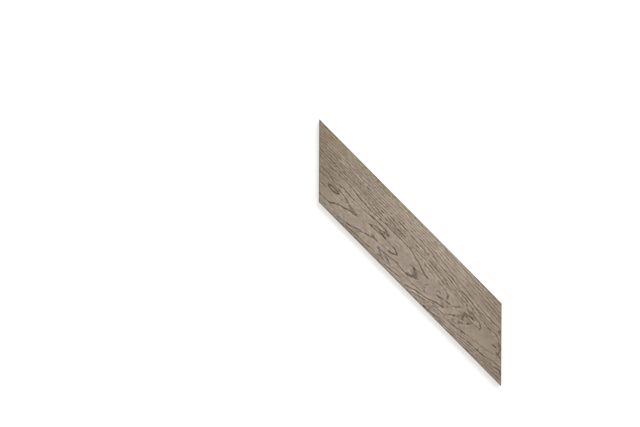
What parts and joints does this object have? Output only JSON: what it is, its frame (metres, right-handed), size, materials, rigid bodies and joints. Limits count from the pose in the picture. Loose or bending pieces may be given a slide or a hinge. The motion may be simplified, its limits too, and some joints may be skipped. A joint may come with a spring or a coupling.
{
  "type": "chevron parquet plank",
  "caption": "Solid oak chevron parquet plank: parallel mitred ends, bevelled face edges, a spline groove all round and relief grooves along the back.",
  "frame": {"origin": "middle of the back, under the centre of the face", "axes": "+X along the long edges, +Y across the board towards the edge that runs on past the near end, +Z out of the finished face"},
  "size_m": [0.65, 0.12, 0.02],
  "materials": {
    "oak": "brushed, smoked grey-brown and matt oiled on the face and its bevels, raw on the sides and the back"
  },
  "bodies": {
    "root": {"plank": "oak"}
  },
  "joints": []
}
